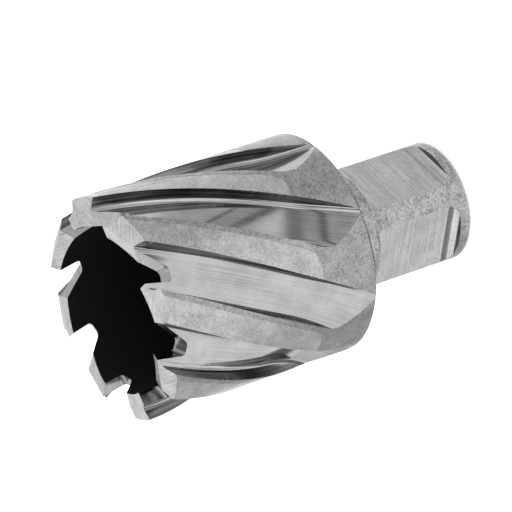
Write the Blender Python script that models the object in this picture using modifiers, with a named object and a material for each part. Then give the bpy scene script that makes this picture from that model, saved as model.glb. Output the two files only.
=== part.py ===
# Annular cutter: a one-piece cup-shaped core drill for a magnetic drilling machine.
# It stands on the end of its shank, with the ring of teeth up. The origin is the
# centre of the shank's end face. Seen from above, the teeth lead counter-clockwise.

import math

import bmesh
import bpy
from mathutils import Vector

mm = 0.001

# Shank, from its end face up to the shoulder of the body
shank_diameter = 19.05 * mm
shank_length = 23.7 * mm
shank_end_chamfer = 0.5 * mm
neck_diameter = 18.0 * mm
neck_length = 6.25 * mm
neck_taper = 0.9 * mm
flat_from_axis = 7.8 * mm
flat_end_rim = 2.1 * mm
flat_short_of_neck = 0.3 * mm
flat_end_radius = 3.05 * mm
flat_end_sweep = 43.0
flat_directions = (0.0, -90.0)

# Body and the cup inside it
body_diameter = 35.0 * mm
body_length = 37.5 * mm
shoulder_chamfer = 0.45 * mm
neck_fillet = 0.5 * mm
core_diameter = 26.25 * mm
core_depth = 31.5 * mm
core_corner = 1.2 * mm
pilot_bore_diameter = 6.5 * mm
pilot_chamfer = 0.6 * mm

# Teeth: each is ground to a crest, with one bevel towards the core and one outwards.
# Two grinds take turns round the ring. Bevels are measured in a radial plane, and
# reliefs along the cut, both down from a plane square to the axis.
tooth_count = 8
first_tooth_direction = 7.0
pointed_tooth = {
    "crest_radius": 15.05 * mm,
    "inner_bevel": 16.0,
    "inner_relief": 10.5,
    "outer_bevel": 31.0,
    "outer_relief": 15.0,
}
square_tooth = {
    "crest_radius": 15.1 * mm,
    "inner_bevel": 0.0,
    "inner_relief": 7.7,
    "outer_bevel": 14.3,
    "outer_relief": 9.5,
}

# Gullets: one in front of each tooth, through the wall, falling outwards
gullet_depth = 3.45 * mm
gullet_rake = 12.0
gullet_back_slope = 39.9
gullet_floor_slope = 14.0
gullet_floor_width = 2.05 * mm
gullet_mouth = 7.0 * mm
gullet_fall = 22.0
gullet_back_radius = 1.1 * mm
gullet_heel_radius = 0.6 * mm

# Each tooth is ground from a line inside the gullet in front of it, in degrees ahead
# of its edge, up to the next tooth's line
grind_start = 7.8
grind_gap = 0.3

# Flutes: helical channels on the outside, one in front of each land
land_width = 5.4 * mm
flute_depth = 2.4 * mm
flute_corner = 0.8 * mm
flute_setback = 1.05 * mm
helix_angle = 29.0
grinding_wheel_radius = 42.7 * mm
grinding_wheel_stop = 24.2 * mm

# Lands: a narrow margin at full diameter, and a shallow relief behind it
margin_width = 1.0 * mm
land_relief = 0.12 * mm
land_relief_end = 28.0 * mm
land_relief_corner = 2.0 * mm
land_relief_sweep = 80.0
land_relief_overrun = 0.9 * mm

# Fineness of the solid
turned_steps = 80
row_spacing = 2.2 * mm
relief_rows = 13
relief_steps = 2
relief_end_steps = 4
flat_end_steps = 4
corner_steps = 3
floor_steps = 3
sharp_edge_angle = 25.0

# How far cutting shapes reach past the part, and above the teeth
clear_of_part = 2.0 * mm
above_teeth = 8.0 * mm
stock_above_teeth = 1.0 * mm

# Sizes that follow from the ones above
body_radius = body_diameter / 2
shank_radius = shank_diameter / 2
neck_radius = neck_diameter / 2
core_radius = core_diameter / 2
bore_radius = pilot_bore_diameter / 2
tooth_height = shank_length + body_length
core_floor = tooth_height - core_depth
tooth_pitch = math.tau / tooth_count
turn_per_length = math.tan(math.radians(helix_angle)) / body_radius
flute_lead = flute_setback / body_radius
flute_heel = flute_lead - tooth_pitch + land_width / body_radius
flute_floor_radius = body_radius - flute_depth
flute_lean = math.atan(flute_floor_radius * turn_per_length)


def round_corner(before, corner, after, radius, steps):
    """Points of an arc that rounds the corner of a 2D outline."""
    corner = Vector(corner)
    to_before = (Vector(before) - corner).normalized()
    to_after = (Vector(after) - corner).normalized()
    half_angle = to_before.angle(to_after) / 2
    start = corner + to_before * radius / math.tan(half_angle)
    centre = corner + (to_before + to_after).normalized() * radius / math.sin(half_angle)
    arm = start - centre
    turn = math.pi - 2 * half_angle
    if to_before.x * to_after.y - to_before.y * to_after.x > 0:
        turn = -turn
    points = []
    for step in range(steps + 1):
        angle = turn * step / steps
        across = arm.x * math.cos(angle) - arm.y * math.sin(angle)
        along = arm.x * math.sin(angle) + arm.y * math.cos(angle)
        points.append((centre.x + across, centre.y + along))
    return points


def add_object(name, mesh, collection):
    """An object for a mesh, linked to a collection."""
    obj = bpy.data.objects.new(name, mesh)
    collection.objects.link(obj)
    return obj


def add_lofted_ring(bm, sections):
    """A closed body through sections of equal length, capped at both ends."""
    rows = [[bm.verts.new(point) for point in section] for section in sections]
    count = len(rows[0])
    for upper, lower in zip(rows, rows[1:]):
        for i in range(count):
            j = (i + 1) % count
            bm.faces.new((upper[i], upper[j], lower[j], lower[i]))
    bm.faces.new(rows[0])
    bm.faces.new(rows[-1])


def finish_cutter(name, bm, collection):
    """A wire-drawn cutter object made from a bmesh of closed bodies."""
    bmesh.ops.recalc_face_normals(bm, faces=bm.faces[:])
    bmesh.ops.triangulate(bm, faces=bm.faces[:])
    mesh = bpy.data.meshes.new(name)
    bm.to_mesh(mesh)
    bm.free()
    cutter = add_object(name, mesh, collection)
    cutter.hide_render = True
    cutter.display_type = "WIRE"
    return cutter


def cut(body, cutter):
    """Takes a cutter's shape out of the body."""
    modifier = body.modifiers.new(cutter.name, "BOOLEAN")
    modifier.operation = "DIFFERENCE"
    modifier.solver = "EXACT"
    modifier.object = cutter


def around(angle, radius, height):
    """A point given by its direction from the axis, its radius and its height."""
    return Vector((radius * math.cos(angle), radius * math.sin(angle), height))


def on_tooth(number, outward, behind, depth):
    """A point given from a tooth's cutting edge: outwards, behind the edge and down."""
    direction = math.radians(first_tooth_direction) + number * tooth_pitch
    x = outward * math.cos(direction) + behind * math.sin(direction)
    y = outward * math.sin(direction) - behind * math.cos(direction)
    return Vector((x, y, tooth_height - depth))


def make_blank(collection):
    """The turned blank: body, shoulder, shank, cup and pilot bore in one section."""
    top = tooth_height + stock_above_teeth
    shoulder = shank_length
    outline = [
        (body_radius, top),
        (body_radius, shoulder + shoulder_chamfer),
        (body_radius - shoulder_chamfer, shoulder),
    ]
    outline += round_corner((body_radius, shoulder), (neck_radius, shoulder),
                            (neck_radius, 0.0), neck_fillet, corner_steps)
    outline += [
        (neck_radius, shoulder - neck_length),
        (shank_radius, shoulder - neck_length - neck_taper),
        (shank_radius, shank_end_chamfer),
        (shank_radius - shank_end_chamfer, 0.0),
        (bore_radius + pilot_chamfer, 0.0),
        (bore_radius, pilot_chamfer),
        (bore_radius, core_floor - pilot_chamfer),
        (bore_radius + pilot_chamfer, core_floor),
    ]
    outline += round_corner((bore_radius, core_floor), (core_radius, core_floor),
                            (core_radius, top), core_corner, corner_steps)
    outline.append((core_radius, top))

    bm = bmesh.new()
    verts = [bm.verts.new((x, 0.0, z)) for x, z in outline]
    for first, second in zip(verts, verts[1:] + verts[:1]):
        bm.edges.new((first, second))
    mesh = bpy.data.meshes.new("annular_cutter")
    bm.to_mesh(mesh)
    bm.free()
    blank = add_object("annular_cutter", mesh, collection)
    screw = blank.modifiers.new("turn", "SCREW")
    screw.axis = "Z"
    screw.steps = turned_steps
    screw.render_steps = turned_steps
    screw.use_merge_vertices = True
    screw.merge_threshold = 0.00001
    return blank


def flute_section():
    """The flute across its width: angle behind the tooth's edge, and depth."""
    heel_foot = (flute_heel * flute_floor_radius, flute_depth)
    lead_foot = (flute_lead * flute_floor_radius, flute_depth)
    heel_top = (heel_foot[0], -clear_of_part)
    lead_top = (lead_foot[0], -clear_of_part)
    outline = [heel_top]
    outline += round_corner(heel_top, heel_foot, lead_foot, flute_corner, corner_steps)
    floor_end = round_corner(heel_foot, lead_foot, lead_top, flute_corner, corner_steps)
    first = outline[-1][0]
    last = floor_end[0][0]
    for step in range(1, floor_steps):
        outline.append((first + (last - first) * step / floor_steps, flute_depth))
    outline += floor_end
    outline.append(lead_top)
    return [(arc / flute_floor_radius, depth) for arc, depth in outline]


def flute_lift(angle, down):
    """How far the wheel's flat face stands off a round floor at one place.

    The wheel follows the helix and stops, and its own curve is the end of the flute.
    """
    lean_sin, lean_cos = math.sin(flute_lean), math.cos(flute_lean)
    ahead = ((flute_lead + flute_heel) / 2 - angle) * flute_floor_radius
    across = ahead * lean_cos
    flatness = flute_floor_radius / grinding_wheel_radius
    lowest = across * lean_sin * lean_cos / (flatness + lean_sin ** 2)
    along = max(lowest, (down - grinding_wheel_stop) / lean_cos - ahead * lean_sin)
    sideways = across * lean_cos - along * lean_sin
    face = flute_floor_radius + along ** 2 / (2 * grinding_wheel_radius)
    return face / math.cos(sideways / flute_floor_radius) - flute_floor_radius


def make_flutes(collection):
    """Helical channels that run out towards the back of the body."""
    section = flute_section()
    start = -clear_of_part
    run_out = math.sqrt(2 * grinding_wheel_radius * (flute_depth + clear_of_part))
    end = grinding_wheel_stop + run_out
    rows = math.ceil((end - start) / row_spacing)
    bm = bmesh.new()
    for number in range(tooth_count):
        direction = math.radians(first_tooth_direction) + number * tooth_pitch
        sections = []
        for row in range(rows + 1):
            down = start + row * row_spacing
            points = []
            for angle, depth in section:
                radius = body_radius - depth + flute_lift(angle, down)
                turned = direction - angle - turn_per_length * down
                points.append(around(turned, radius, tooth_height - down))
            sections.append(points)
        add_lofted_ring(bm, sections)
    return finish_cutter("flutes", bm, collection)


def make_land_reliefs(collection):
    """A shallow step behind each margin, with a rounded end."""
    lead = (flute_setback + margin_width) / body_radius
    heel = (flute_setback + land_width + land_relief_overrun) / body_radius
    start = -clear_of_part
    straight = land_relief_end - land_relief_corner
    rows = [(start + (straight - start) * row / relief_rows, 0.0) for row in range(relief_rows)]
    for step in range(relief_end_steps + 1):
        turn = math.radians(land_relief_sweep) * step / relief_end_steps
        inset = land_relief_corner * (1 - math.cos(turn))
        rows.append((straight + land_relief_corner * math.sin(turn), inset))
    bm = bmesh.new()
    for number in range(tooth_count):
        direction = math.radians(first_tooth_direction) + number * tooth_pitch
        sections = []
        for down, inset in rows:
            from_angle = lead + inset / body_radius
            points = []
            for step in range(relief_steps + 1):
                angle = from_angle + (heel - from_angle) * step / relief_steps
                turned = direction - angle - turn_per_length * down
                points.append(around(turned, body_radius - land_relief, tooth_height - down))
            for angle in (heel, from_angle):
                turned = direction - angle - turn_per_length * down
                points.append(around(turned, body_radius + clear_of_part, tooth_height - down))
            sections.append(points)
        add_lofted_ring(bm, sections)
    return finish_cutter("land_reliefs", bm, collection)


def tooth_form(number):
    """The grind of a tooth: pointed and square teeth take turns."""
    return pointed_tooth if number % 2 == 0 else square_tooth


def tooth_profile(form, angle):
    """The stock above a tooth in one radial plane: inner facet, crest and outer facet."""
    inner_bevel = math.tan(math.radians(form["inner_bevel"]))
    outer_bevel = math.tan(math.radians(form["outer_bevel"]))
    inner_relief = math.tan(math.radians(form["inner_relief"]))
    outer_relief = math.tan(math.radians(form["outer_relief"]))
    crest_shift = (inner_relief - outer_relief) / (inner_bevel + outer_bevel)
    inside = core_radius - clear_of_part
    crest = form["crest_radius"] / (math.cos(angle) - crest_shift * math.sin(angle))
    outside = (body_radius + clear_of_part) / math.cos(tooth_pitch / 2)

    def inner_depth(radius):
        fall = inner_bevel * (core_radius - radius * math.cos(angle))
        return fall + inner_relief * radius * math.sin(angle)

    def outer_depth(radius):
        crest_depth = inner_bevel * (core_radius - form["crest_radius"])
        fall = outer_bevel * (radius * math.cos(angle) - form["crest_radius"])
        return crest_depth + fall + outer_relief * radius * math.sin(angle)

    return [
        (inside, -above_teeth),
        (inside, inner_depth(inside)),
        (crest, inner_depth(crest)),
        (outside, outer_depth(outside)),
        (outside, -above_teeth),
    ]


def make_facets(collection):
    """The stock above each tooth, a sector from gullet to gullet."""
    ahead = -math.radians(grind_start)
    back = ahead + tooth_pitch - math.radians(grind_gap)
    bm = bmesh.new()
    for number in range(tooth_count):
        sections = []
        for angle in (ahead, back):
            profile = tooth_profile(tooth_form(number), angle)
            sections.append([on_tooth(number, radius * math.cos(angle),
                                      radius * math.sin(angle), depth)
                             for radius, depth in profile])
        add_lofted_ring(bm, sections)
    return finish_cutter("facets", bm, collection)


def gullet_section():
    """A gullet seen from inside the cup: distance behind the edge, and depth."""
    rake = math.tan(math.radians(gullet_rake))
    back = math.tan(math.radians(gullet_back_slope))
    floor = math.tan(math.radians(gullet_floor_slope))
    foot = (rake * gullet_depth, gullet_depth)
    heel = (foot[0] - gullet_floor_width, gullet_depth + floor * gullet_floor_width)
    mouth_depth = heel[1] - back * (heel[0] + gullet_mouth)
    mouth = (-gullet_mouth, mouth_depth)
    tip = (-rake * above_teeth, -above_teeth)
    outline = [tip]
    outline += round_corner(tip, foot, heel, gullet_heel_radius, corner_steps)
    outline += round_corner(foot, heel, mouth, gullet_back_radius, corner_steps)
    outline += [mouth, (-gullet_mouth, -above_teeth)]
    return outline


def make_gullets(collection):
    """Notches through the wall that fall towards the flutes."""
    fall = math.tan(math.radians(gullet_fall))
    bm = bmesh.new()
    for number in range(tooth_count):
        sections = []
        for outward in (core_radius - clear_of_part, body_radius + clear_of_part):
            drop = fall * (outward - core_radius)
            points = [on_tooth(number, outward, behind, depth + drop)
                      for behind, depth in gullet_section()]
            sections.append(points)
        add_lofted_ring(bm, sections)
    return finish_cutter("gullets", bm, collection)


def make_flat(direction, collection):
    """A driving flat on the shank, hollowed up to a rim at its outer end."""
    angle = math.radians(direction)
    normal = Vector((math.cos(angle), math.sin(angle), 0.0))
    across = Vector((-math.sin(angle), math.cos(angle), 0.0))
    outside = shank_radius + clear_of_part
    flat_top = shank_length - neck_length - flat_short_of_neck
    sweep = math.radians(flat_end_sweep)
    hollow_start = flat_end_rim + flat_end_radius * math.sin(sweep)
    outline = [(outside, flat_top), (flat_from_axis, flat_top)]
    for step in range(flat_end_steps + 1):
        turn = sweep * step / flat_end_steps
        rise = flat_end_radius * (1 - math.cos(turn))
        outline.append((flat_from_axis + rise, hollow_start - flat_end_radius * math.sin(turn)))
    outline.append((outside, flat_end_rim))
    bm = bmesh.new()
    sections = []
    for reach in (-outside, outside):
        sections.append([normal * out + across * reach + Vector((0.0, 0.0, height))
                         for out, height in outline])
    add_lofted_ring(bm, sections)
    return finish_cutter("flat_%d" % abs(round(direction)), bm, collection)


def make_steel():
    """Bright ground high speed steel."""
    material = bpy.data.materials.new("high_speed_steel")
    material.use_nodes = True
    shader = material.node_tree.nodes["Principled BSDF"]
    shader.inputs["Base Color"].default_value = (0.56, 0.56, 0.57, 1.0)
    shader.inputs["Metallic"].default_value = 1.0
    shader.inputs["Roughness"].default_value = 0.32
    return material


def finish_body(body, cutters):
    """Keeps the cut shape as the body's own mesh, shaded smooth between sharp edges."""
    evaluated = body.evaluated_get(bpy.context.evaluated_depsgraph_get())
    mesh = bpy.data.meshes.new_from_object(evaluated)
    body.modifiers.clear()
    body.data = mesh
    body.data.name = body.name
    for cutter in list(cutters.objects):
        bpy.data.objects.remove(cutter, do_unlink=True)
    bpy.data.collections.remove(cutters)
    mesh.shade_smooth()
    mesh.set_sharp_from_angle(angle=math.radians(sharp_edge_angle))


def build():
    """Turns the blank, then cuts shank, flutes, lands and teeth out of it."""
    for obj in list(bpy.data.objects):
        bpy.data.objects.remove(obj, do_unlink=True)
    scene = bpy.context.scene
    parts = bpy.data.collections.new("annular_cutter")
    cutters = bpy.data.collections.new("cutters")
    scene.collection.children.link(parts)
    scene.collection.children.link(cutters)

    body = make_blank(parts)
    for direction in flat_directions:
        cut(body, make_flat(direction, cutters))
    cut(body, make_land_reliefs(cutters))
    cut(body, make_flutes(cutters))
    cut(body, make_facets(cutters))
    cut(body, make_gullets(cutters))
    finish_body(body, cutters)
    body.data.materials.append(make_steel())


build()
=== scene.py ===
import math

import bmesh
import bpy
from mathutils import Matrix, Quaternion, Vector


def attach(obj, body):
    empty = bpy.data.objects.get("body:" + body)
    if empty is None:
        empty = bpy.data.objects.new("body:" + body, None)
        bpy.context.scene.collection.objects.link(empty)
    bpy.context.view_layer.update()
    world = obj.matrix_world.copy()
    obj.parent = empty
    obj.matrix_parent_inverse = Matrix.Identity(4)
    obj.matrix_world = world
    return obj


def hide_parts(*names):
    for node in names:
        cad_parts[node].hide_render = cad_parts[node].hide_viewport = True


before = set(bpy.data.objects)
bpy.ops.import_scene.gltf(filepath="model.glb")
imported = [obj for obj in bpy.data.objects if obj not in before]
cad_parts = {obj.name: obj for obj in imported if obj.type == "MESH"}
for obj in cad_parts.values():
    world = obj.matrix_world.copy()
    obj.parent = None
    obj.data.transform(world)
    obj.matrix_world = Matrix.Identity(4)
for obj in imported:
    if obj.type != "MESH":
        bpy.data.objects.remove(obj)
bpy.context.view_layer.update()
print("frame loaded:", sorted(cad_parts))

# Lengths are in mm and angles in degrees, unless a note says otherwise.
mm = 0.001
mergeDistance = 0.001 * mm  # in metres
cutTolerance = 1e-7  # how near a cut a point counts as on it
nearCorner = 0.01  # how far from a bar's corner an edge may lie and still be found there
past = 2.0  # how far a cutting shape reaches past the steel
above = 8.0  # how far it stands above the teeth

ring = {
    "toothCount": 8,
    "firstTooth": 7.0,  # angle of the first cutting edge
    "toothTop": 61.2,  # height of the teeth's inner corners above the shank's end
}
pitch = 360.0 / ring["toothCount"]


def slope(degrees):
    return math.tan(math.radians(degrees))


def toMesh(bm, name, finishes=(), triangles=True):
    bmesh.ops.remove_doubles(bm, verts=bm.verts[:], dist=mergeDistance)
    bmesh.ops.recalc_face_normals(bm, faces=bm.faces[:])
    if triangles:
        bmesh.ops.triangulate(bm, faces=bm.faces[:])
    mesh = bpy.data.meshes.new(name)
    bm.to_mesh(mesh)
    bm.free()
    for finish in finishes:
        mesh.materials.append(finish)
    return mesh


def addPiece(mesh):
    piece = bpy.data.objects.new(mesh.name, mesh)
    bpy.context.scene.collection.objects.link(piece)
    return piece


def polygon(bm, points):
    return bm.faces.new([bm.verts.new(point) for point in points])


def roundCorner(bm, vert, radius, steps):
    # Rounds one corner of a flat polygon; the cut back follows from the corner's angle.
    ends = [(edge.other_vert(vert).co - vert.co).normalized() for edge in vert.link_edges]
    cutBack = radius / math.tan(ends[0].angle(ends[1]) / 2)
    bmesh.ops.bevel(bm, geom=[vert], offset=cutBack, offset_type="OFFSET", segments=steps,
                    profile=0.5, affect="VERTICES", material=-1)


def roundEdges(bm, edges, radius, steps):
    bmesh.ops.bevel(bm, geom=edges, offset=radius, offset_type="OFFSET", segments=steps,
                    profile=0.5, affect="EDGES", material=-1)


def roundTheRing(singles, name, finishes):
    # The same cut at every tooth, or two cuts that take turns.
    bm = bmesh.new()
    for number in range(ring["toothCount"]):
        before = set(bm.verts)
        bm.from_mesh(singles[number % len(singles)])
        added = [vert for vert in bm.verts if vert not in before]
        turn = Matrix.Rotation(math.radians(ring["firstTooth"] + number * pitch), 3, "Z")
        bmesh.ops.rotate(bm, verts=added, cent=(0, 0, 0), matrix=turn)
    return toMesh(bm, name, finishes)


cutter = {
    "bodyRadius": 17.5,
    "helix": 29.0,
    "shoulder": 23.7,
    "shoulderChamfer": 0.45,
    "neckRadius": 9.0,
    "neckFillet": 0.5,
    "neckFilletSteps": 6,
    "neckStart": 17.45,
    "neckTaper": 0.9,
    "shankRadius": 9.525,
    "shankChamfer": 0.5,
    "boreRadius": 3.25,
    "boreChamfer": 0.6,
    "coreRadius": 13.125,
    "coreFloor": 29.7,
    "coreCorner": 1.2,
    "coreCornerSteps": 8,
    "stockTop": 62.2,
    "turnSteps": 240,  # three to each side of the CAD solid, so both share their corners
}


def turnedBlank(finish):
    c = cutter
    neckCorner = (c["neckRadius"], c["shoulder"])
    coreCorner = (c["coreRadius"], c["coreFloor"])
    outline = [
        (c["bodyRadius"], c["stockTop"]),
        (c["bodyRadius"], c["shoulder"] + c["shoulderChamfer"]),
        (c["bodyRadius"] - c["shoulderChamfer"], c["shoulder"]),
        neckCorner,
        (c["neckRadius"], c["neckStart"]),
        (c["shankRadius"], c["neckStart"] - c["neckTaper"]),
        (c["shankRadius"], c["shankChamfer"]),
        (c["shankRadius"] - c["shankChamfer"], 0.0),
        (c["boreRadius"] + c["boreChamfer"], 0.0),
        (c["boreRadius"], c["boreChamfer"]),
        (c["boreRadius"], c["coreFloor"] - c["boreChamfer"]),
        (c["boreRadius"] + c["boreChamfer"], c["coreFloor"]),
        coreCorner,
        (c["coreRadius"], c["stockTop"]),
    ]
    bm = bmesh.new()
    half = polygon(bm, [(x * mm, 0.0, z * mm) for x, z in outline])
    neckVert, coreVert = (half.verts[outline.index(corner)] for corner in (neckCorner, coreCorner))
    roundCorner(bm, neckVert, c["neckFillet"] * mm, c["neckFilletSteps"])
    roundCorner(bm, coreVert, c["coreCorner"] * mm, c["coreCornerSteps"])
    bmesh.ops.delete(bm, geom=bm.faces[:], context="FACES_ONLY")
    bmesh.ops.spin(bm, geom=bm.verts[:] + bm.edges[:], cent=(0, 0, 0), axis=(0, 0, 1),
                   dvec=(0, 0, 0), angle=math.tau, steps=c["turnSteps"], use_merge=True)
    return toMesh(bm, "annular_cutter_fine", (finish,), triangles=False)


def sliceBar(bm, axis, start, end, count):
    # Parallel cuts through a bar, so that it can bend.
    normal = Vector((axis == "X", axis == "Y", axis == "Z"))
    for step in range(1, count):
        place = normal * (start + (end - start) * step / count)
        bmesh.ops.bisect_plane(bm, geom=bm.verts[:] + bm.edges[:] + bm.faces[:],
                               plane_co=place, plane_no=normal, dist=cutTolerance)


def straightBar(across, deep, down):
    # X is the arc behind a tooth's edge, Y the depth below the body, Z the way down.
    bm = bmesh.new()
    bmesh.ops.create_cube(bm, size=1.0)
    size = [high - low for low, high in (across, deep, down)]
    middle = [(high + low) / 2 for low, high in (across, deep, down)]
    bmesh.ops.scale(bm, verts=bm.verts[:], vec=size)
    bmesh.ops.translate(bm, verts=bm.verts[:], vec=middle)
    return bm


def windRound(bm, radius, lift=None):
    # Bends a straight bar round the body and twists it along the helix.
    perLength = slope(cutter["helix"]) / cutter["bodyRadius"]
    for vert in bm.verts:
        arc, deep, down = vert.co
        angle = arc / radius
        out = cutter["bodyRadius"] - deep + (lift(angle, down) if lift else 0.0)
        turned = -angle - perLength * down
        vert.co = Vector((out * math.cos(turned), out * math.sin(turned), ring["toothTop"] - down)) * mm


flute = {
    "landWidth": 5.4,
    "depth": 2.4,
    "corner": 0.8,
    "cornerSteps": 7,
    "setback": 1.05,
    "wheelRadius": 42.7,
    "wheelStop": 24.2,
    "barEnd": 40.0,
    "wallTilt": 0.88,  # how square to the floor a face is that still counts as wall
    "slicesAcross": 12,
    "slicesDown": 70,
}


def fluteSides():
    # Angles behind a tooth's edge where the flute in front of it starts and ends.
    lead = flute["setback"] / cutter["bodyRadius"]
    return lead - math.radians(pitch) + flute["landWidth"] / cutter["bodyRadius"], lead


def fluteLift(angle, down):
    # How far the wheel's flat face stands off a round floor. The wheel follows the helix,
    # stops, and its own curve is the end of the flute.
    f = flute
    floor = cutter["bodyRadius"] - f["depth"]
    lean = math.atan(floor * slope(cutter["helix"]) / cutter["bodyRadius"])
    ahead = (sum(fluteSides()) / 2 - angle) * floor
    across = ahead * math.cos(lean)
    lowest = across * math.sin(lean) * math.cos(lean) / (floor / f["wheelRadius"] + math.sin(lean) ** 2)
    along = max(lowest, (down - f["wheelStop"]) / math.cos(lean) - ahead * math.sin(lean))
    sideways = across * math.cos(lean) - along * math.sin(lean)
    face = floor + along ** 2 / (2 * f["wheelRadius"])
    return face / math.cos(sideways / floor) - floor


def fluteCutter(floorFinish, wallPaintedShade):
    f = flute
    floorRadius = cutter["bodyRadius"] - f["depth"]
    across = tuple(side * floorRadius for side in fluteSides())
    down = (-past, f["barEnd"])
    bm = straightBar(across, (-past, f["depth"]), down)
    deepEdges = [edge for edge in bm.edges
                 if min(v.co.y for v in edge.verts) > 0 and edge.verts[0].co.x == edge.verts[1].co.x]
    roundEdges(bm, deepEdges, f["corner"], f["cornerSteps"])
    bm.normal_update()
    # Faces square to the floor take the walls' finish, whose dark tone is painted shade.
    for face in bm.faces:
        face.material_index = int(abs(face.normal.x) > f["wallTilt"])
    sliceBar(bm, "X", *across, f["slicesAcross"])
    sliceBar(bm, "Z", *down, f["slicesDown"])
    windRound(bm, floorRadius, fluteLift)
    finishes = (floorFinish, wallPaintedShade)
    return roundTheRing([toMesh(bm, "flute", finishes)], "flutes", finishes)


land = {
    "margin": 1.0,
    "relief": 0.05,
    "end": 28.0,
    "corner": 1.8,
    "cornerSteps": 8,
    "lap": 0.9,  # how far the cut laps over the next flute
    "slicesAcross": 6,
    "slicesDown": 40,
}


def landCutter(finish):
    n = land
    start = flute["setback"] + n["margin"]
    across = (start, flute["setback"] + flute["landWidth"] + n["lap"])
    down = (-past, n["end"])
    bm = straightBar(across, (-past, n["relief"]), down)
    corner = [edge for edge in bm.edges
              if all(v.co.x < start + nearCorner and v.co.z > n["end"] - nearCorner for v in edge.verts)]
    roundEdges(bm, corner, n["corner"], n["cornerSteps"])
    sliceBar(bm, "X", *across, n["slicesAcross"])
    sliceBar(bm, "Z", *down, n["slicesDown"])
    windRound(bm, cutter["bodyRadius"])
    return roundTheRing([toMesh(bm, "relief")], "reliefs", (finish,))


teeth = {
    "pointed": {"crest": 15.05, "inner": 16.0, "innerRelief": 10.5, "outer": 31.0, "outerRelief": 15.0},
    "square": {"crest": 15.1, "inner": 0.0, "innerRelief": 7.7, "outer": 14.3, "outerRelief": 9.5},
    "grindStart": 7.8,
    "grindGap": 0.3,
}


def toothProfile(form, degrees):
    # The stock above a tooth in one radial plane, as points of radius and depth.
    angle = math.radians(degrees)
    inner, outer = slope(form["inner"]), slope(form["outer"])
    innerRelief, outerRelief = slope(form["innerRelief"]), slope(form["outerRelief"])
    shift = (innerRelief - outerRelief) / (inner + outer)
    crestDepth = inner * (cutter["coreRadius"] - form["crest"])
    inside = cutter["coreRadius"] - past
    crest = form["crest"] / (math.cos(angle) - shift * math.sin(angle))
    outside = cutter["bodyRadius"] + 2 * past

    def innerDepth(r):
        return inner * (cutter["coreRadius"] - r * math.cos(angle)) + innerRelief * r * math.sin(angle)

    def outerDepth(r):
        fall = outer * (r * math.cos(angle) - form["crest"])
        return crestDepth + fall + outerRelief * r * math.sin(angle)

    return [(inside, -above), (inside, innerDepth(inside)), (crest, innerDepth(crest)),
            (outside, outerDepth(outside)), (outside, -above)]


def toothCutter(finish):
    singles = []
    for form in (teeth["pointed"], teeth["square"]):
        bm = bmesh.new()
        for degrees in (-teeth["grindStart"], pitch - teeth["grindStart"] - teeth["grindGap"]):
            angle = math.radians(degrees)
            polygon(bm, [Vector((r * math.cos(angle), -r * math.sin(angle), ring["toothTop"] - depth)) * mm
                         for r, depth in toothProfile(form, degrees)])
        bmesh.ops.bridge_loops(bm, edges=bm.edges[:])
        singles.append(toMesh(bm, "tooth"))
    return roundTheRing(singles, "tooth_tops", (finish,))


gullet = {
    "depth": 3.45,
    "rake": 12.0,
    "footRadius": 0.6,  # corner below the rake face
    "floorSlope": 14.0,
    "floorWidth": 2.05,
    "backRadius": 1.1,  # corner below the back slope
    "backSlope": 39.9,
    "mouth": 7.0,
    "fall": 22.0,
    "footSteps": 6,
    "backSteps": 8,
}


def gulletCutter(finish):
    g = gullet
    foot = (slope(g["rake"]) * g["depth"], g["depth"])
    back = (foot[0] - g["floorWidth"], g["depth"] + slope(g["floorSlope"]) * g["floorWidth"])
    mouth = (-g["mouth"], back[1] - slope(g["backSlope"]) * (back[0] + g["mouth"]))
    outline = [(-above * slope(g["rake"]), -above), foot, back, mouth, (-g["mouth"], -above)]
    inside = cutter["coreRadius"] - past
    reach = cutter["bodyRadius"] + past - inside
    bm = bmesh.new()
    face = polygon(bm, [Vector((inside, -behind, ring["toothTop"] - depth + past * slope(g["fall"]))) * mm
                        for behind, depth in outline])
    footVert, backVert = (face.verts[outline.index(corner)] for corner in (foot, back))
    roundCorner(bm, footVert, g["footRadius"] * mm, g["footSteps"])
    roundCorner(bm, backVert, g["backRadius"] * mm, g["backSteps"])
    pushed = bmesh.ops.extrude_face_region(bm, geom=bm.faces[:], use_keep_orig=True)
    moved = [item for item in pushed["geom"] if isinstance(item, bmesh.types.BMVert)]
    bmesh.ops.translate(bm, verts=moved, vec=Vector((reach, 0.0, -slope(g["fall"]) * reach)) * mm)
    return roundTheRing([toMesh(bm, "gullet")], "gullets", (finish,))


flat = {
    "fromAxis": 7.8,
    "rim": 2.1,
    "endRadius": 3.05,
    "endSweep": 43.0,
    "endSteps": 16,
    "top": 17.15,
    "reach": 12.0,
}


def flatCutter(degrees, finish):
    # A box whose lower edge is a wheel's round corner, cut off square at the rim.
    f = flat
    low = f["rim"] + f["endRadius"] * math.sin(math.radians(f["endSweep"])) - f["endRadius"]
    bm = straightBar((f["fromAxis"], f["reach"]), (-f["reach"], f["reach"]), (low, f["top"]))
    lower = [edge for edge in bm.edges
             if all(v.co.x < f["fromAxis"] + nearCorner and v.co.z < low + nearCorner for v in edge.verts)]
    roundEdges(bm, lower, f["endRadius"], f["endSteps"])
    bmesh.ops.bisect_plane(bm, geom=bm.verts[:] + bm.edges[:] + bm.faces[:], dist=cutTolerance,
                           plane_co=(0, 0, f["rim"]), plane_no=(0, 0, 1), clear_inner=True)
    bmesh.ops.holes_fill(bm, edges=[edge for edge in bm.edges if edge.is_boundary])
    bmesh.ops.rotate(bm, verts=bm.verts[:], cent=(0, 0, 0),
                     matrix=Matrix.Rotation(math.radians(degrees), 3, "Z"))
    bmesh.ops.scale(bm, verts=bm.verts[:], vec=(mm, mm, mm))
    return toMesh(bm, "flat", (finish,))


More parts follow.
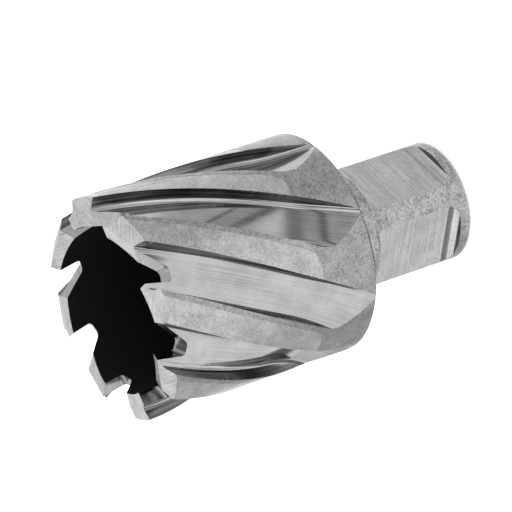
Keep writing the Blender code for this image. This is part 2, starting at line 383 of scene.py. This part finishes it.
def linear(hexColour):
    # sRGB hex to the linear colour that shaders take.
    channels = [int(hexColour[i:i + 2], 16) / 255 for i in (1, 3, 5)]
    spread = [c / 12.92 if c <= 0.04045 else ((c + 0.055) / 1.055) ** 2.4 for c in channels]
    return (*spread, 1.0)


def addNode(tree, kind, settings=None, links=None):
    # Settings are the node's options or its sockets' values; links name what feeds a socket.
    made = tree.nodes.new("ShaderNode" + kind)
    for name, value in (settings or {}).items():
        if isinstance(name, int) or name in made.inputs:
            made.inputs[name].default_value = value
        else:
            setattr(made, name, value)
    for name, source in (links or {}).items():
        tree.links.new(source, made.inputs[name])
    return made


def startMaterial(name, settings):
    # Settings are the shader's own sockets, for what is the same all over the surface.
    material = bpy.data.materials.new(name)
    material.use_nodes = True
    tree = material.node_tree
    shader = tree.nodes["Principled BSDF"]
    for socket, value in settings.items():
        shader.inputs[socket].default_value = value
    return material, tree, shader


# High speed steel in nine finishes; the dark tones of the walls and edges are painted shade. Each gives the
# light and dark tone of the steel, its roughness, how far the grinding lines stand over the grain, their
# spacing and length, how far crystals show in the grain, the size of the grain and of the clouds in it, how
# far the clouds show, and the height of the bumps. Real grinding lines are some 0.03 mm apart, too
# fine to show, so they are drawn 0.13 mm apart or more.
steels = {
    # Relief ground dry behind each margin: pale and satin, lightly clouded.
    "lands": {"light": "#E0E0E1", "dark": "#9E9E9F", "roughness": 0.36, "lines": 0.15, "spacing": 0.30,
              "length": 5.0, "crystals": 0.3, "grain": 0.22, "cloud": 2.5, "clouds": 0.35, "bump": 0.4},
    # Cylindrical grinding all round: a shade darker, with a finer mottle.
    "margins": {"light": "#C6C6C7", "dark": "#868687", "roughness": 0.36, "lines": 0.12, "spacing": 0.30,
                "length": 5.0, "crystals": 0.4, "grain": 0.22, "cloud": 2.2, "clouds": 0.3, "bump": 0.4},
    # Flute floors under the wheel's flat face: near a mirror, with long drawn lines.
    "flutes": {"light": "#DEDEDF", "dark": "#A6A6A7", "roughness": 0.09, "lines": 0.8, "spacing": 0.17,
               "length": 18.0, "crystals": 0.1, "grain": 0.25, "cloud": 4.0, "clouds": 0.3, "bump": 0.2},
    # Flute walls under the wheel's rim: a dark tone that is painted shade, streaked along the flute.
    "paintedShadeWalls": {"light": "#9C9C9E", "dark": "#121213", "roughness": 0.14, "lines": 0.95, "spacing": 0.50,
              "length": 30.0, "crystals": 0.0, "grain": 0.3, "cloud": 3.0, "clouds": 0.15, "bump": 0.2},
    # Gullets ground straight through the wall: bright, with a soft shine.
    "gullets": {"light": "#B6B6B8", "dark": "#8C8C8E", "roughness": 0.15, "lines": 0.65, "spacing": 0.22,
                "length": 6.0, "crystals": 0.1, "grain": 0.25, "cloud": 2.0, "clouds": 0.2, "bump": 0.25},
    # Cutting facets: the palest faces, with short askew lines.
    "facets": {"light": "#E2E2E3", "dark": "#929293", "roughness": 0.30, "lines": 0.6, "spacing": 0.24,
               "length": 5.0, "crystals": 0.2, "grain": 0.24, "cloud": 2.5, "clouds": 0.3, "bump": 0.15},
    # Shank as it comes from hardening and blasting: dull, with crystals like frost.
    "shank": {"light": "#D4D4D5", "dark": "#8E8E8F", "roughness": 0.36, "lines": 0.1, "spacing": 0.30,
              "length": 6.0, "crystals": 0.55, "grain": 0.26, "cloud": 2.0, "clouds": 0.3, "bump": 0.5},
    # Driving flats under a wide wheel: fine lines straight across the shank.
    "flats": {"light": "#F3F3F4", "dark": "#A8A8A9", "roughness": 0.20, "lines": 0.7, "spacing": 0.13,
              "length": 14.0, "crystals": 0.45, "grain": 0.22, "cloud": 2.8, "clouds": 0.2, "bump": 0.25},
    # Shoulder chamfer and the steps below the rims: a dark tone that is painted shade, so they read as dark
    # lines.
    "edges": {"light": "#6E6E70", "dark": "#3C3C3E", "roughness": 0.30, "lines": 0.4, "spacing": 0.20,
              "length": 4.0, "crystals": 0.2, "grain": 0.20, "cloud": 2.0, "clouds": 0.2, "bump": 0.2},
}

grit = {
    "toneEnds": (0.35, 0.65),  # the pattern's values that are fully dark and fully light
    "roughEnds": (0.3, 0.7),
    "roughSwing": (0.85, 1.2),  # how far the roughness swings about its value
    "bumpHeight": 0.02,  # of the grain's size
}


def groundSteel(name, s):
    # Ground with a wheel: long fine lines over a bright crystalline grain.
    material, tree, shader = startMaterial(name, {"Metallic": 1.0})
    grainScale = 1.0 / (s["grain"] * mm)
    place = addNode(tree, "TexCoord").outputs["Object"]
    along = addNode(tree, "UVMap", {"uv_map": "grind"})
    stretch = addNode(tree, "Mapping", {"Scale": (1.0 / s["spacing"], 1.0 / s["length"], 1.0)},
                      {"Vector": along.outputs["UV"]})
    lines = addNode(tree, "TexNoise", {"Scale": 1.0, "Detail": 3.0, "Roughness": 0.65},
                    {"Vector": stretch.outputs["Vector"]})
    grain = addNode(tree, "TexNoise", {"Scale": grainScale, "Detail": 3.0, "Roughness": 0.6},
                    {"Vector": place})
    ragged = addNode(tree, "VectorMath", {"operation": "MULTIPLY_ADD", 1: (s["grain"] * mm,) * 3},
                     {0: grain.outputs["Color"], 2: place})
    crystals = addNode(tree, "TexVoronoi", {"Scale": grainScale}, {"Vector": ragged.outputs[0]})
    clouds = addNode(tree, "TexNoise", {"Scale": 1.0 / (s["cloud"] * mm), "Detail": 3.0, "Roughness": 0.55},
                     {"Vector": place})
    speckle = addNode(tree, "Mix", {"data_type": "FLOAT", 0: s["crystals"]},
                      {2: grain.outputs["Fac"], 3: crystals.outputs["Color"]})
    surface = addNode(tree, "Mix", {"data_type": "FLOAT", 0: s["lines"]},
                      {2: speckle.outputs[0], 3: lines.outputs["Fac"]}).outputs[0]
    clouded = addNode(tree, "Mix", {"data_type": "FLOAT", 0: s["clouds"]},
                      {2: surface, 3: clouds.outputs["Fac"]})
    tone = addNode(tree, "ValToRGB", {}, {"Fac": clouded.outputs[0]})
    for element, colour, end in zip(tone.color_ramp.elements, ("dark", "light"), grit["toneEnds"]):
        element.position = end
        element.color = linear(s[colour])
    smooth, coarse = (s["roughness"] * swing for swing in grit["roughSwing"])
    rough = addNode(tree, "MapRange",
                    {1: grit["roughEnds"][0], 2: grit["roughEnds"][1], 3: smooth, 4: coarse}, {0: surface})
    bump = addNode(tree, "Bump", {"Strength": s["bump"], "Distance": grit["bumpHeight"] * s["grain"] * mm},
                   {"Height": surface})
    tree.links.new(tone.outputs["Color"], shader.inputs["Base Color"])
    tree.links.new(rough.outputs[0], shader.inputs["Roughness"])
    tree.links.new(bump.outputs["Normal"], shader.inputs["Normal"])
    return material


boreBlack = {"light": "#0F0F10", "dark": "#060606", "roughness": 0.75, "shine": 0.12, "patch": 0.8}


def nearBlackSteel(name):
    # The unground bore: near black, which gives almost no light back.
    material, tree, shader = startMaterial(name, {"Roughness": boreBlack["roughness"],
                                                  "Specular IOR Level": boreBlack["shine"]})
    place = addNode(tree, "TexCoord")
    patches = addNode(tree, "TexNoise", {"Scale": 1.0 / (boreBlack["patch"] * mm), "Detail": 4.0},
                      {"Vector": place.outputs["Object"]})
    tone = addNode(tree, "ValToRGB", {}, {"Fac": patches.outputs["Fac"]})
    for element, colour in zip(tone.color_ramp.elements, ("dark", "light")):
        element.color = linear(boreBlack[colour])
    tree.links.new(tone.outputs["Color"], shader.inputs["Base Color"])
    return material


def cutAway(piece, mesh):
    tool = addPiece(mesh)
    modifier = piece.modifiers.new(mesh.name, "BOOLEAN")
    modifier.operation = "DIFFERENCE"
    modifier.solver = "EXACT"
    modifier.material_mode = "TRANSFER"
    modifier.object = tool
    return tool


materials = {name: groundSteel("ground_steel_" + name, finish) for name, finish in steels.items()}
materials["bore"] = nearBlackSteel("near_black_bore")

blank = addPiece(turnedBlank(materials["margins"]))
tools = [
    cutAway(blank, flatCutter(0.0, materials["flats"])),
    cutAway(blank, flatCutter(-90.0, materials["flats"])),
    cutAway(blank, landCutter(materials["lands"])),
    cutAway(blank, fluteCutter(materials["flutes"], materials["paintedShadeWalls"])),
    cutAway(blank, toothCutter(materials["facets"])),
    cutAway(blank, gulletCutter(materials["gullets"])),
]
graph = bpy.context.evaluated_depsgraph_get()
fine = bpy.data.meshes.new_from_object(blank.evaluated_get(graph))
blank.modifiers.clear()
blank.data = fine
for tool in tools:
    bpy.data.objects.remove(tool, do_unlink=True)
print("cutter ground:", len(fine.polygons), "faces")

surfaces = {
    "coreMargin": 0.02,  # a face this far outside the core's radius still lies in the core
    "coreBelow": 1.0,  # and so does one this far below its floor
    "stepTilt": 0.9,  # how level a face of a flat is that is the step below the rim
    "toothLead": 10.0,  # turns the count of the teeth, so each keeps its own facets and gullet
    "wallOffset": 9.0,  # keeps the lines on neighbouring walls apart
    "toothOffset": 7.0,  # and those on neighbouring teeth
    "facetTurn": (0.8, 0.6),  # share of each direction in the askew lines
    "sharpAngle": 24.0,
}


def placeFinishes(mesh):
    # The core, bore, shank and shoulder chamfer leave the margins' finish for their own; the chamfer and
    # the steps below the flats' rims take the edges' painted shade.
    c, s = cutter, surfaces
    for name in ("shank", "edges", "bore"):
        mesh.materials.append(materials[name])
    places = {slot.name: i for i, slot in enumerate(mesh.materials)}
    slots = {name: places[material.name] for name, material in materials.items()}
    coreRadius = (c["coreRadius"] + s["coreMargin"]) * mm
    coreFloor = (c["coreFloor"] - s["coreBelow"]) * mm
    boreRadius = (c["boreRadius"] + c["boreChamfer"]) * mm
    chamferRadius = (c["bodyRadius"] - c["shoulderChamfer"]) * mm
    chamferTop = (c["shoulder"] + c["shoulderChamfer"]) * mm
    for face in mesh.polygons:
        radius = math.hypot(face.center.x, face.center.y)
        height = face.center.z
        if face.material_index == slots["margins"]:
            if (radius < coreRadius and height > coreFloor) or radius < boreRadius:
                face.material_index = slots["bore"]
            # The shoulder chamfer gets the edges' painted shade.
            elif radius > chamferRadius and height < chamferTop:
                face.material_index = slots["edges"]
            elif height < chamferTop:
                face.material_index = slots["shank"]
        # Level steps below the flats' rims get the edges' painted shade.
        elif face.material_index == slots["flats"] and face.normal.z > s["stepTilt"]:
            face.material_index = slots["edges"]
    return {slot: name for name, slot in slots.items()}


def layGrindLines(mesh, finishes):
    # A UV map in mm, across and along the way that each surface was ground.
    s = surfaces
    body = cutter["bodyRadius"]
    perLength = slope(cutter["helix"]) / (body * mm)
    grind = mesh.uv_layers.new(name="grind")
    for face in mesh.polygons:
        finish = finishes[face.material_index]
        middle = math.atan2(face.center.y, face.center.x)
        tooth = round((math.degrees(middle) - ring["firstTooth"] + s["toothLead"]) / pitch)
        edge = math.radians(ring["firstTooth"] + tooth * pitch)
        channel = round(math.degrees(middle - perLength * face.center.z) / (pitch / 2))
        for loop in face.loop_indices:
            p = mesh.vertices[mesh.loops[loop].vertex_index].co
            swing = math.atan2(p.y, p.x) - middle
            swing = (swing + math.pi) % math.tau - math.pi
            arc = (middle + swing) * body
            outward = p.x * math.cos(edge) + p.y * math.sin(edge)
            behind = p.x * math.sin(edge) - p.y * math.cos(edge)
            if finish == "flutes":
                uv = (arc - perLength * p.z * body, p.z / mm)
            elif finish == "paintedShadeWalls":
                uv = (math.hypot(p.x, p.y) / mm + s["wallOffset"] * channel, p.z / mm)
            elif finish == "gullets":
                uv = (behind / mm + s["toothOffset"] * tooth, outward / mm)
            elif finish == "facets":
                turnBehind, turnOutward = s["facetTurn"]
                askew = behind / mm * turnBehind + outward / mm * turnOutward
                uv = (askew + s["toothOffset"] * tooth, outward / mm)
            elif finish == "flats":
                uv = (p.z / mm, (p.x + p.y) / mm)
            else:
                uv = (p.z / mm, arc)
            grind.data[loop].uv = uv


layGrindLines(fine, placeFinishes(fine))
fine.shade_smooth()
fine.set_sharp_from_angle(angle=math.radians(surfaces["sharpAngle"]))
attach(blank, "root")
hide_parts("annular_cutter")
print("finishes set")

studio = {
    "floorSize": 3.0,  # in metres
    "floorColour": "#F7F7F6",
    "floorRoughness": 0.9,
    "white": 2.4,
    "steelLight": 0.92,
    # What the steel sees around it, as soft-edged panels, each laid over those before it:
    # azimuth, elevation, half width, half height, soft edge beside and above, how far the
    # panel leans, and its light.
    "panels": [
        # Large soft ones all round.
        (0.0, 16.0, 50.0, 18.0, 20.0, 10.0, 0.0, 0.55),
        (-36.0, 21.0, 9.0, 13.0, 8.0, 5.0, 0.0, 1.15),
        (116.0, 38.0, 10.0, 8.0, 12.0, 8.0, 0.0, 0.76),
        (150.0, 32.0, 8.0, 8.0, 10.0, 8.0, 0.0, 1.05),
        (138.0, -29.0, 22.0, 4.0, 28.0, 5.0, 0.0, 1.5),
        (-80.0, 68.0, 40.0, 14.0, 15.0, 10.0, 0.0, 1.2),
        (24.0, 54.0, 8.0, 8.0, 8.0, 6.0, 0.0, 0.35),
        (-162.0, 31.0, 5.0, 5.0, 8.0, 6.0, 0.0, 1.25),
        # Towards -X and -Y, most of them low.
        (-84.0, 24.0, 6.0, 10.0, 10.0, 10.0, 0.0, 0.10),
        (-143.0, -10.0, 5.0, 11.0, 36.0, 4.5, 0.0, 0.08),
        (-146.0, -40.0, 28.0, 5.5, 14.0, 2.5, 0.0, 0.22),
        (-123.0, -42.0, 3.0, 5.0, 5.0, 4.0, 0.0, 1.35),
        (-138.0, -55.0, 8.0, 6.0, 6.0, 4.0, 0.0, 0.12),
        (-80.0, -66.0, 14.0, 3.0, 10.0, 4.0, 0.0, 0.40),
        (172.0, -31.0, 6.0, 3.0, 6.0, 1.8, 0.0, 0.14),
        (180.0, -23.5, 8.0, 1.5, 8.0, 2.5, 0.0, 0.65),
        # Low towards +X: the polished floor of the front flute mirrors these.
        (22.0, -30.0, 15.0, 4.0, 24.0, 5.0, 0.0, 0.48),
        (-3.0, -15.0, 8.0, 9.0, 12.0, 5.0, 0.0, 0.45),
        (3.5, -28.5, 1.8, 3.0, 4.0, 2.0, -1.6, 0.20),
        (12.5, -28.5, 2.5, 3.0, 3.0, 2.0, -1.6, 0.40),
        (20.0, -28.5, 0.2, 3.0, 2.4, 2.0, -1.6, 0.11),
        (-4.0, -22.3, 8.0, 0.6, 8.0, 3.6, 0.0, 0.25),
        (-4.0, -13.6, 8.0, 0.2, 8.0, 1.9, 0.0, 0.11),
        (40.0, -14.0, 8.0, 5.0, 8.0, 4.0, 0.0, 0.35),
    ],
}


def softEdge(tree, angle, centre, half, soft):
    # One inside a span of an angle, nought outside it, the short way round.
    offset = addNode(tree, "Math", {"operation": "SUBTRACT", 1: math.radians(centre)}, {0: angle})
    short = addNode(tree, "Math", {"operation": "WRAP", 1: math.pi, 2: -math.pi}, {0: offset.outputs[0]})
    size = addNode(tree, "Math", {"operation": "ABSOLUTE"}, {0: short.outputs[0]})
    ends = {1: math.radians(half + soft), 2: math.radians(half)}
    return addNode(tree, "MapRange", {"interpolation_type": "SMOOTHSTEP", **ends},
                   {0: size.outputs[0]}).outputs[0]


def studioWorld():
    # Even white light for the floor, and a light tent with soft panels for the steel.
    world = bpy.data.worlds.new("studio")
    bpy.context.scene.world = world
    world.use_nodes = True
    tree = world.node_tree
    tree.nodes.clear()
    place = addNode(tree, "TexCoord")
    way = addNode(tree, "SeparateXYZ", {}, {"Vector": place.outputs["Generated"]})
    azimuth = addNode(tree, "Math", {"operation": "ARCTAN2"},
                      {0: way.outputs["Y"], 1: way.outputs["X"]}).outputs[0]
    elevation = addNode(tree, "Math", {"operation": "ARCSINE"}, {0: way.outputs["Z"]}).outputs[0]
    level = None
    for az, el, halfWidth, halfHeight, softBeside, softAbove, lean, light in studio["panels"]:
        upright = azimuth
        if lean:
            upright = addNode(tree, "Math", {"operation": "MULTIPLY_ADD", 1: -lean},
                              {0: elevation, 2: azimuth}).outputs[0]
        beside = softEdge(tree, upright, az - lean * el, halfWidth, softBeside)
        over = softEdge(tree, elevation, el, halfHeight, softAbove)
        both = addNode(tree, "Math", {"operation": "MULTIPLY"}, {0: beside, 1: over})
        panel = addNode(tree, "Mix", {"data_type": "FLOAT", 2: studio["steelLight"], 3: light},
                        {0: both.outputs[0]})
        if level:
            tree.links.new(level, panel.inputs[2])
        level = panel.outputs[0]
    ray = addNode(tree, "LightPath")
    light = addNode(tree, "Mix", {"data_type": "FLOAT", 2: studio["white"]},
                    {0: ray.outputs["Is Glossy Ray"], 3: level})
    glow = addNode(tree, "Background", {"Color": (1, 1, 1, 1)}, {"Strength": light.outputs[0]})
    addNode(tree, "OutputWorld", {}, {"Surface": glow.outputs["Background"]})


def paleFloor():
    # Uncoated paper: even and matt.
    bm = bmesh.new()
    bmesh.ops.create_grid(bm, x_segments=1, y_segments=1, size=studio["floorSize"] / 2)
    mesh = bpy.data.meshes.new("floor")
    bm.to_mesh(mesh)
    bm.free()
    floor = addPiece(mesh)
    paper = startMaterial("pale_paper_floor", {"Base Color": linear(studio["floorColour"]),
                                               "Roughness": studio["floorRoughness"]})[0]
    mesh.materials.append(paper)
    floor.visible_glossy = False


camera = {
    "target": (0.0, 0.98, 33.5),
    "distance": 545.5,
    "azimuth": -44.92,
    "elevation": 29.0,
    "roll": -108.63,
    "lens": 249.84,
    "sensor": 36.0,
    "clip": (0.01, 10.0),  # in metres
}


def photoCamera():
    c = camera
    a, e = math.radians(c["azimuth"]), math.radians(c["elevation"])
    back = Vector((math.cos(a) * math.cos(e), math.sin(a) * math.cos(e), math.sin(e)))
    data = bpy.data.cameras.new("camera")
    data.lens = c["lens"]
    data.sensor_width = c["sensor"]
    data.clip_start, data.clip_end = c["clip"]
    eye = bpy.data.objects.new("camera", data)
    bpy.context.scene.collection.objects.link(eye)
    eye.location = (Vector(c["target"]) + back * c["distance"]) * mm
    upright = (-back).to_track_quat("-Z", "Y")
    eye.rotation_euler = (upright @ Quaternion((0, 0, 1), math.radians(c["roll"]))).to_euler()
    bpy.context.scene.camera = eye


studioWorld()
paleFloor()
photoCamera()
bpy.context.scene.view_settings.view_transform = "Standard"
print("studio ready")
